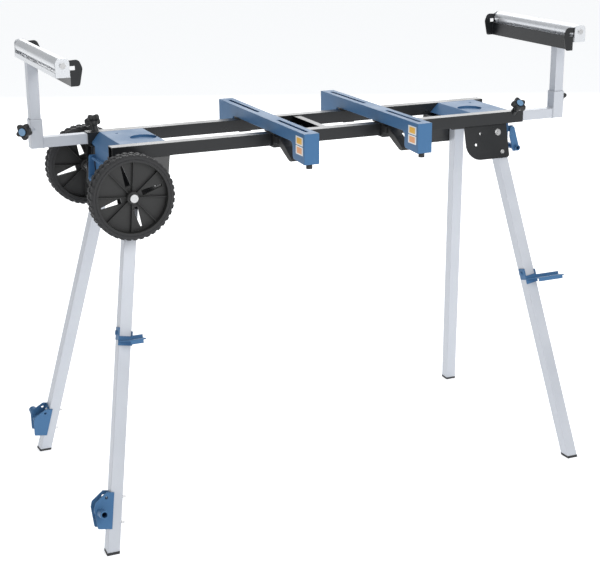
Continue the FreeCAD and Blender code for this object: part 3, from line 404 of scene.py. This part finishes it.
def treadTree():
    tree = bpy.data.node_groups.new("tyreTread", "GeometryNodeTree")
    socket(tree, "Geometry", "NodeSocketGeometry", "INPUT")
    for name, start in (("Count", 40), ("Radius", 0.1), ("Side Shift", 0.01), ("Length", 0.01),
                        ("Width", 0.01), ("Height", 0.004), ("Lean", 0.2), ("Phase", 0.0)):
        kind = "NodeSocketInt" if name == "Count" else "NodeSocketFloat"
        socket(tree, name, kind, "INPUT", start)
    socket(tree, "Centre", "NodeSocketVector", "INPUT")
    socket(tree, "Rubber", "NodeSocketMaterial", "INPUT")
    socket(tree, "Geometry", "NodeSocketGeometry", "OUTPUT")
    new = tree.nodes.new
    inside, outside = new("NodeGroupInput"), new("NodeGroupOutput")
    line = new("GeometryNodeMeshLine")
    line.mode = "OFFSET"
    line.inputs["Offset"].default_value = (0, 0, 0)
    index = new("GeometryNodeInputIndex")
    angle = maths(new, "MULTIPLY_ADD")
    step = maths(new, "DIVIDE")
    step.inputs[0].default_value = 2 * math.pi
    start = maths(new, "MULTIPLY")
    turn = new("ShaderNodeCombineXYZ")
    block = new("GeometryNodeMeshCube")
    size = new("ShaderNodeCombineXYZ")
    taper = new("GeometryNodeSetPosition")
    where = new("GeometryNodeInputPosition")
    split = new("ShaderNodeSeparateXYZ")
    top = maths(new, "GREATER_THAN", 0)
    narrow = maths(new, "MULTIPLY", (0.74, 0.86, 1), vector=True)
    askew = new("GeometryNodeTransform")
    leaning = new("ShaderNodeCombineXYZ")
    out = new("GeometryNodeTransform")
    shift = new("ShaderNodeCombineXYZ")
    onPoints = new("GeometryNodeInstanceOnPoints")
    toCentre = new("GeometryNodeTransform")
    realize = new("GeometryNodeRealizeInstances")
    joined = new("GeometryNodeJoinGeometry")
    paint = new("GeometryNodeSetMaterial")
    wire(tree,
         (inside.outputs["Count"], line.inputs["Count"]),
         (inside.outputs["Count"], step.inputs[1]),
         (step.outputs[0], start.inputs[0]),
         (inside.outputs["Phase"], start.inputs[1]),
         (index.outputs[0], angle.inputs[0]),
         (step.outputs[0], angle.inputs[1]),
         (start.outputs[0], angle.inputs[2]),
         (angle.outputs[0], turn.inputs["Y"]),
         (inside.outputs["Length"], size.inputs["X"]),
         (inside.outputs["Width"], size.inputs["Y"]),
         (inside.outputs["Height"], size.inputs["Z"]),
         (size.outputs[0], block.inputs["Size"]),
         (block.outputs["Mesh"], taper.inputs["Geometry"]),
         (where.outputs[0], split.inputs[0]),
         (split.outputs["Z"], top.inputs[0]),
         (top.outputs[0], taper.inputs["Selection"]),
         (where.outputs[0], narrow.inputs[0]),
         (narrow.outputs[0], taper.inputs["Position"]),
         (taper.outputs[0], askew.inputs["Geometry"]),
         (inside.outputs["Lean"], leaning.inputs["Z"]),
         (leaning.outputs[0], askew.inputs["Rotation"]),
         (askew.outputs[0], out.inputs["Geometry"]),
         (inside.outputs["Side Shift"], shift.inputs["Y"]),
         (inside.outputs["Radius"], shift.inputs["Z"]),
         (shift.outputs[0], out.inputs["Translation"]),
         (line.outputs["Mesh"], onPoints.inputs["Points"]),
         (out.outputs[0], onPoints.inputs["Instance"]),
         (turn.outputs[0], onPoints.inputs["Rotation"]),
         (onPoints.outputs[0], toCentre.inputs["Geometry"]),
         (inside.outputs["Centre"], toCentre.inputs["Translation"]),
         (toCentre.outputs[0], realize.inputs[0]),
         (realize.outputs[0], joined.inputs[0]),
         (inside.outputs["Geometry"], joined.inputs[0]),
         (joined.outputs[0], paint.inputs["Geometry"]),
         (inside.outputs["Rubber"], paint.inputs["Material"]),
         (paint.outputs[0], outside.inputs[0]))
    return tree


treads = treadTree()


def makeTyre(row, tyre):
    low, high = (Vector(corner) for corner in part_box(row + "_tyre"))
    centre = (low + high) / 2
    rim, out, half = tyre["inside"], tyre["outside"], tyre["halfWidth"]
    side = [(rim, 0.88), (rim + 0.0015, 0.97), (rim + 0.003, 1.0), (rim + 0.005, 1.0), (rim + 0.0056, 0.95),
            (rim + 0.0066, 0.95), (rim + 0.0072, 0.99), (rim + 0.0115, 0.98), (out - 0.0012, 0.90),
            (out, 0.80)]
    groove = [(out, 0.16), (out - 0.0022, 0.13)]
    outline = [(radius, -across * half) for radius, across in side + groove]
    outline += [(radius, across * half) for radius, across in reversed(side + groove)]
    vertices, faces = ringOf(outline, 128, centre)
    piece = newPiece(row + "Tyre", vertices, faces, materials["tyre_rubber"], smooth=False)
    for way, phase in ((-1, 0.0), (1, 0.5)):
        applyNodes(piece, treads, {
            "Count": tyre["blocks"], "Radius": out + 0.0002, "Side Shift": way * half * 0.55,
            "Length": tyre["blockLength"], "Width": tyre["blockWidth"], "Height": tyre["blockHeight"],
            "Lean": way * math.radians(tyre["lean"]), "Phase": phase, "Centre": tuple(centre),
            "Rubber": materials["tyre_rubber"]})
    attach(piece, row + "_wheel")
    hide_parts(row + "_tyre")


for row in ("front", "rear"):
    makeTyre(row, tyre)
print("tyres made")

# ---- clamp knobs: five lobes with a soft crown, in place of the plain ones

knob = {
    "radius": 0.0210,
    "lobes": 5,
    "dip": 0.0062,           # how far the outline comes in between lobes
    "height": 0.0150,
    "neck": 0.0075,
    "stand": 0.0210,
    "round": 0.0030,
    "stud": 0.0040,
    "steps": 100,
}


def makeKnob(name, body, spot, direction, knob):
    # rings of a lobed outline from the stud's tip to the crown
    levels = [(-0.0030, knob["stud"], 0), (0.0090, knob["stud"], 0), (0.0090, knob["neck"], 0),
              (knob["stand"] - 0.003, knob["neck"] + 0.001, 0), (knob["stand"], knob["radius"] - 0.006, 0.6)]
    for step in range(7):
        turn = math.pi * step / 6
        bulge = knob["round"] * (math.sin(turn) - 1)
        level = knob["stand"] + knob["height"] * (0.5 - 0.5 * math.cos(turn))
        levels.append((level, knob["radius"] + bulge, 1))
    levels.append((knob["stand"] + knob["height"], knob["radius"] * 0.50, 0.3))
    levels.append((knob["stand"] + knob["height"] - 0.0012, knob["radius"] * 0.46, 0))
    aim = Vector((0, 0, 1)).rotation_difference(Vector(direction)).to_matrix()
    vertices = []
    for level, radius, lobed in levels:
        for i in range(knob["steps"]):
            angle = 2 * math.pi * i / knob["steps"]
            reach = radius - lobed * knob["dip"] * (0.5 + 0.5 * math.cos(knob["lobes"] * angle + math.pi / 2))
            point = Vector((reach * math.cos(angle), reach * math.sin(angle), level))
            vertices.append(aim @ point + Vector(spot))
    steps = knob["steps"]
    faces = [tuple(range(steps)), tuple(range((len(levels) - 1) * steps, len(levels) * steps))]
    for ring in range(len(levels) - 1):
        for i in range(steps):
            a, b = ring * steps + i, ring * steps + (i + 1) % steps
            faces.append((a, b, b + steps, a + steps))
    piece = newPiece(name, vertices, faces, materials["black_plastic"], smooth=True)
    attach(piece, body)
    return piece


joints = {joint["name"]: joint for joint in frame["joints"]}
for end in ("left", "right"):
    for place, body in (("rail", "rail_knob"), ("post", "post_knob")):
        turn = joints[end + "_" + place + "_knob_turn"]
        piece = makeKnob(end + place.title() + "Knob", end + "_" + body, turn["pos_m"], turn["axis"], knob)
        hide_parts(end + "_" + place + "_knob")
print("knobs made")

# ---- bolts and nuts: hex heads and washers set on their shanks by Geometry Nodes

bolt = {
    "pivotRadius": 0.0066,
    "pivotHeight": 0.0040,
    "lockRadius": 0.0040,
    "lockHeight": 0.0020,
    "pinDown": 0.0520,       # lock pin from its pivot
    "pinRadius": 0.0050,
    "pinHeight": 0.0028,
    "washer": 0.0011,
    "cheeks": 0.0195,        # from a pivot to the outer face of a cheek
    "legSide": 0.0172,       # from a leg's middle to the outside of its foot bracket
    "nutSide": 0.0146,
    "nutEnd": 0.0262,        # far end of a foot bolt
    "footShank": 0.0030,
    "footStep": 0.0300,      # each foot bolt from the middle of the pair
    "pivotShank": 0.0050,
    "lockShank": 0.0034,
}


def fastenerTree():
    tree = bpy.data.node_groups.new("fastenerHeads", "GeometryNodeTree")
    socket(tree, "Geometry", "NodeSocketGeometry", "INPUT")
    for name in ("Radius", "Height", "Washer Thickness"):
        socket(tree, name, "NodeSocketFloat", "INPUT", 0.005)
    socket(tree, "Metal", "NodeSocketMaterial", "INPUT")
    socket(tree, "Geometry", "NodeSocketGeometry", "OUTPUT")
    new = tree.nodes.new
    inside, outside = new("NodeGroupInput"), new("NodeGroupOutput")
    isHead = new("GeometryNodeInputNamedAttribute")
    isHead.data_type = "FLOAT"
    isHead.inputs["Name"].default_value = "isHead"
    direction = new("GeometryNodeInputNamedAttribute")
    direction.data_type = "FLOAT_VECTOR"
    direction.inputs["Name"].default_value = "direction"
    aim = new("FunctionNodeAlignRotationToVector")
    aim.axis = "Z"
    chosen = new("FunctionNodeCompare")
    chosen.data_type = "FLOAT"
    chosen.operation = "GREATER_THAN"
    chosen.inputs["B"].default_value = 0.5
    apart = new("GeometryNodeSeparateGeometry")
    apart.domain = "POINT"
    hexagon = new("GeometryNodeMeshCone")
    hexagon.inputs["Vertices"].default_value = 6
    crown = maths(new, "MULTIPLY", 0.88)
    lift = new("GeometryNodeTransform")
    rise = new("ShaderNodeCombineXYZ")
    disc = new("GeometryNodeMeshCylinder")
    disc.inputs["Vertices"].default_value = 24
    wide = maths(new, "MULTIPLY", 1.32)
    half = maths(new, "MULTIPLY", 0.5)
    settle = new("GeometryNodeTransform")
    sink = new("ShaderNodeCombineXYZ")
    head = new("GeometryNodeJoinGeometry")
    onPoints = new("GeometryNodeInstanceOnPoints")
    realize = new("GeometryNodeRealizeInstances")
    joined = new("GeometryNodeJoinGeometry")
    paint = new("GeometryNodeSetMaterial")
    wire(tree,
         (isHead.outputs["Attribute"], chosen.inputs["A"]),
         (inside.outputs["Geometry"], apart.inputs["Geometry"]),
         (chosen.outputs["Result"], apart.inputs["Selection"]),
         (direction.outputs["Attribute"], aim.inputs["Vector"]),
         (inside.outputs["Radius"], hexagon.inputs["Radius Bottom"]),
         (inside.outputs["Radius"], crown.inputs[0]),
         (crown.outputs[0], hexagon.inputs["Radius Top"]),
         (inside.outputs["Height"], hexagon.inputs["Depth"]),
         (inside.outputs["Washer Thickness"], rise.inputs["Z"]),
         (hexagon.outputs["Mesh"], lift.inputs["Geometry"]),
         (rise.outputs[0], lift.inputs["Translation"]),
         (inside.outputs["Radius"], wide.inputs[0]),
         (wide.outputs[0], disc.inputs["Radius"]),
         (inside.outputs["Washer Thickness"], disc.inputs["Depth"]),
         (inside.outputs["Washer Thickness"], half.inputs[0]),
         (half.outputs[0], sink.inputs["Z"]),
         (disc.outputs["Mesh"], settle.inputs["Geometry"]),
         (sink.outputs[0], settle.inputs["Translation"]),
         (settle.outputs[0], head.inputs[0]),
         (lift.outputs[0], head.inputs[0]),
         (apart.outputs["Selection"], onPoints.inputs["Points"]),
         (head.outputs[0], onPoints.inputs["Instance"]),
         (aim.outputs["Rotation"], onPoints.inputs["Rotation"]),
         (onPoints.outputs[0], realize.inputs[0]),
         (realize.outputs[0], joined.inputs[0]),
         (apart.outputs["Inverted"], joined.inputs[0]),
         (joined.outputs[0], paint.inputs["Geometry"]),
         (inside.outputs["Metal"], paint.inputs["Material"]),
         (paint.outputs[0], outside.inputs[0]))
    return tree


fasteners = fastenerTree()
legs = {"splay": 15.0, "left": -10.25, "right": 8.45}    # tilt of the legs' planes and lean in them, degrees


def legDirections(out, end):
    # down a leg from its pivot, and across it towards +X
    lean = math.radians(legs[end])
    tilt = Matrix.Rotation(math.radians(legs["splay"] * out), 3, "X")
    down = Vector((math.sin(lean), 0, -math.cos(lean)))
    across = Vector((math.cos(lean), 0, math.sin(lean)))
    return tilt @ down, tilt @ across


def shank(start, end, radius, sides=20):
    # a closed bar between two points, as vertices and faces
    along = (Vector(end) - Vector(start)).normalized()
    aim = Vector((0, 0, 1)).rotation_difference(along).to_matrix()
    turns = [2 * math.pi * i / sides for i in range(sides)]
    ring = [aim @ Vector((radius * math.cos(turn), radius * math.sin(turn), 0)) for turn in turns]
    vertices = [Vector(start) + spot for spot in ring] + [Vector(end) + spot for spot in ring]
    faces = [tuple(range(sides))[::-1], tuple(range(sides, 2 * sides))]
    faces += [(i, (i + 1) % sides, sides + (i + 1) % sides, sides + i) for i in range(sides)]
    return vertices, faces


def makeBolts(name, body, bars, heads, radius, height):
    # bars are (start, end, radius); heads are (place, direction)
    vertices, faces, isHead, directions = [], [], [], []
    for start, end, thick in bars:
        more, sides = shank(start, end, thick)
        faces += [tuple(i + len(vertices) for i in side) for side in sides]
        vertices += more
        isHead += [0.0] * len(more)
        directions += [(0, 0, 1)] * len(more)
    for place, direction in heads:
        vertices.append(Vector(place))
        isHead.append(1.0)
        directions.append(tuple(direction))
    mesh = bpy.data.meshes.new(name)
    mesh.from_pydata(vertices, [], faces)
    piece = bpy.data.objects.new(name, mesh)
    bpy.context.scene.collection.objects.link(piece)
    mesh.materials.append(materials["bright_steel"])
    mesh.attributes.new("isHead", "FLOAT", "POINT").data.foreach_set("value", isHead)
    flat = [part for direction in directions for part in direction]
    mesh.attributes.new("direction", "FLOAT_VECTOR", "POINT").data.foreach_set("vector", flat)
    applyNodes(piece, fasteners, {"Radius": radius, "Height": height, "Washer Thickness": bolt["washer"],
                                  "Metal": materials["bright_steel"]})
    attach(piece, body)
    return piece


pivotBars, pivotHeads, pinBars, pinHeads = [], [], [], []
for row, out in (("front", -1), ("rear", 1)):
    for end in ("left", "right"):
        fold = joints[row + "_" + end + "_leg_fold"]
        outward = Vector(fold["axis"]).normalized() * out
        spot = Vector(fold["pos_m"])
        face = spot + outward * bolt["cheeks"]
        pivotBars.append((spot - outward * (bolt["cheeks"] + 0.005), face, bolt["pivotShank"]))
        pivotHeads.append((face, outward))
        pivotHeads.append((spot - outward * bolt["cheeks"], -outward))
        # the lock pin sits down the leg, just below the pivot
        down = legDirections(out, end)[0]
        pin = face + down * bolt["pinDown"]
        pinBars.append((pin - outward * 0.0023, pin + outward * bolt["washer"], bolt["lockShank"]))
        pinHeads.append((pin, outward))
piece = makeBolts("pivotBolts", "frame", pivotBars, pivotHeads, bolt["pivotRadius"], bolt["pivotHeight"])
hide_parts("leg_bracket_bolts")
makeBolts("lockPins", "frame", pinBars, pinHeads, bolt["lockRadius"], bolt["lockHeight"])

for row, out in (("front", -1), ("rear", 1)):
    pivot = Vector(joints[row + "_left_leg_fold"]["pos_m"])
    low, high = (Vector(corner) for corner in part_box(row + "_left_foot_bolts"))
    down, across = legDirections(out, "left")
    centre = pivot + down * ((low + high) / 2 - pivot).dot(down)
    bars, heads = [], []
    for step in (-bolt["footStep"], bolt["footStep"]):
        spot = centre + down * step
        bars.append((spot - across * bolt["legSide"], spot + across * bolt["nutEnd"], bolt["footShank"]))
        heads.append((spot - across * bolt["legSide"], -across))
        heads.append((spot + across * bolt["nutSide"], across))
    piece = makeBolts(row + "FootBolts", row + "_left_leg", bars, heads, bolt["pinRadius"], bolt["pinHeight"])
    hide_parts(row + "_left_foot_bolts")
print("bolts made")

# ---- weld beads where each arm meets its sleeve, ripples set along the seam

weld = {
    "ripple": 0.0017,
    "gap": 0.0016,
    "seed": 4,
    "tube": 0.0128,          # half the width of the seam's square
    "sleeve": 0.0152,        # from a post's middle to the sleeve's face
    "rise": 0.0125,          # from an arm's underside to the seam's middle
}


def weldTree():
    tree = bpy.data.node_groups.new("weldBead", "GeometryNodeTree")
    socket(tree, "Geometry", "NodeSocketGeometry", "INPUT")
    socket(tree, "Ripple", "NodeSocketFloat", "INPUT", 0.0017)
    socket(tree, "Gap", "NodeSocketFloat", "INPUT", 0.0016)
    socket(tree, "Seed", "NodeSocketInt", "INPUT", 1)
    socket(tree, "Metal", "NodeSocketMaterial", "INPUT")
    socket(tree, "Geometry", "NodeSocketGeometry", "OUTPUT")
    new = tree.nodes.new
    inside, outside = new("NodeGroupInput"), new("NodeGroupOutput")
    seam = new("GeometryNodeMeshToCurve")
    spaced = new("GeometryNodeResampleCurve")
    spaced.mode = "LENGTH"
    drop = new("GeometryNodeMeshIcoSphere")
    drop.inputs["Subdivisions"].default_value = 2
    vary = new("FunctionNodeRandomValue")
    vary.data_type = "FLOAT"
    vary.inputs["Min"].default_value = 0.8
    vary.inputs["Max"].default_value = 1.15
    onPoints = new("GeometryNodeInstanceOnPoints")
    realize = new("GeometryNodeRealizeInstances")
    paint = new("GeometryNodeSetMaterial")
    wire(tree,
         (inside.outputs["Geometry"], seam.inputs[0]),
         (seam.outputs[0], spaced.inputs["Curve"]),
         (inside.outputs["Gap"], spaced.inputs["Length"]),
         (spaced.outputs[0], onPoints.inputs["Points"]),
         (inside.outputs["Ripple"], drop.inputs["Radius"]),
         (drop.outputs["Mesh"], onPoints.inputs["Instance"]),
         (inside.outputs["Seed"], vary.inputs["Seed"]),
         (vary.outputs["Value"], onPoints.inputs["Scale"]),
         (onPoints.outputs[0], realize.inputs[0]),
         (realize.outputs[0], paint.inputs["Geometry"]),
         (inside.outputs["Metal"], paint.inputs["Material"]),
         (paint.outputs[0], outside.inputs[0]))
    return tree


welds = weldTree()
for end, side in (("left", -1), ("right", 1)):
    low, high = (Vector(corner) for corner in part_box(end + "_post"))
    post = (low + high) / 2
    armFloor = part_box(end + "_extension_arm")[0][2]
    x, y, z = post.x - side * weld["sleeve"], post.y, armFloor + weld["rise"]
    half = weld["tube"]
    corners = [(x, y + a * half, z + b * half) for a, b in ((-1, -1), (1, -1), (1, 1), (-1, 1))]
    mesh = bpy.data.meshes.new(end + "ArmWeld")
    mesh.from_pydata(corners, [(0, 1), (1, 2), (2, 3), (3, 0)], [])
    piece = bpy.data.objects.new(end + "ArmWeld", mesh)
    bpy.context.scene.collection.objects.link(piece)
    applyNodes(piece, welds, {"Ripple": weld["ripple"], "Gap": weld["gap"], "Seed": weld["seed"],
                              "Metal": materials["silver_paint"]})
    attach(piece, end + "_arm")
print("welds made")

# ---- plain stickers on the beams' front blocks: white, with a coloured field and no lettering

sticker = {
    "tall": 0.0205,
    "wide": 0.0400,
    "gap": 0.0020,
    "thick": 0.00025,
    "corner": 0.0018,
    "top": 0.0095,           # below the beam's top
    "fromEnd": 0.0085,
    "sideMargin": 0.0060,    # white film showing round the coloured field
    "topMargin": 0.0030,
    "fields": ((0.92, 0.50, 0.06), (0.86, 0.36, 0.12)),
}


def stickerMaterial(name, field):
    # a slightly uneven printed colour under a thin clear film
    material = bpy.data.materials.new(name)
    material.use_nodes = True
    tree = material.node_tree
    new = tree.nodes.new
    shader = tree.nodes["Principled BSDF"]
    shader.inputs["Coat Weight"].default_value = 0.3
    grain = new("ShaderNodeGroup")
    grain.node_tree = surfaceGrain
    grain.inputs["Fine Scale"].default_value = 500
    tones = blend(new, a=[part * 0.88 for part in field], b=field)
    gloss = mapped(new, toMin=0.30, toMax=0.48)
    wire(tree,
         (grain.outputs["Cloud"], tones.inputs["Factor"]),
         (tones.outputs["Result"], shader.inputs["Base Color"]),
         (grain.outputs["Fine"], gloss.inputs["Value"]),
         (gloss.outputs["Result"], shader.inputs["Roughness"]))
    return material


def roundedPlate(name, x, yRange, zRange, thick, corner, material):
    # a thin plate facing -X with four rounded corners
    outline = []
    near, far = yRange[0] + corner, yRange[1] - corner
    low, high = zRange[0] + corner, zRange[1] - corner
    for cy, cz, start in ((far, high, 0), (near, high, 90), (near, low, 180), (far, low, 270)):
        for step in range(6):
            angle = math.radians(start + 18 * step)
            outline.append((cy + corner * math.cos(angle), cz + corner * math.sin(angle)))
    count = len(outline)
    vertices = [(x, y, z) for y, z in outline] + [(x - thick, y, z) for y, z in outline]
    faces = [tuple(range(count)), tuple(range(count, 2 * count))[::-1]]
    faces += [(i, (i + 1) % count, count + (i + 1) % count, count + i) for i in range(count)]
    return newPiece(name, vertices, faces, material)


whiteFilm = stickerMaterial("whiteFilm", (0.86, 0.86, 0.84))
for end in ("left", "right"):
    low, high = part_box(end + "_saw_beam")
    for order, field in enumerate(sticker["fields"]):
        top = high[2] - sticker["top"] - order * (sticker["tall"] + sticker["gap"])
        zRange = (top - sticker["tall"], top)
        yRange = (low[1] + sticker["fromEnd"], low[1] + sticker["fromEnd"] + sticker["wide"])
        label = end + "Sticker" + str(order + 1)
        film = roundedPlate(label, low[0] + 0.0001, yRange, zRange, sticker["thick"], sticker["corner"],
                            whiteFilm)
        ink = stickerMaterial("stickerField" + end + str(order), field)
        yField = (yRange[0] + sticker["sideMargin"], yRange[1] - sticker["sideMargin"])
        zField = (zRange[0] + sticker["topMargin"], zRange[1] - sticker["topMargin"])
        fieldX = low[0] - sticker["thick"] + 0.0002
        patch = roundedPlate(label + "Field", fieldX, yField, zField, 0.0002, 0.0008, ink)
        for part in (film, patch):
            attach(part, end + "_beam")
print("stickers made")
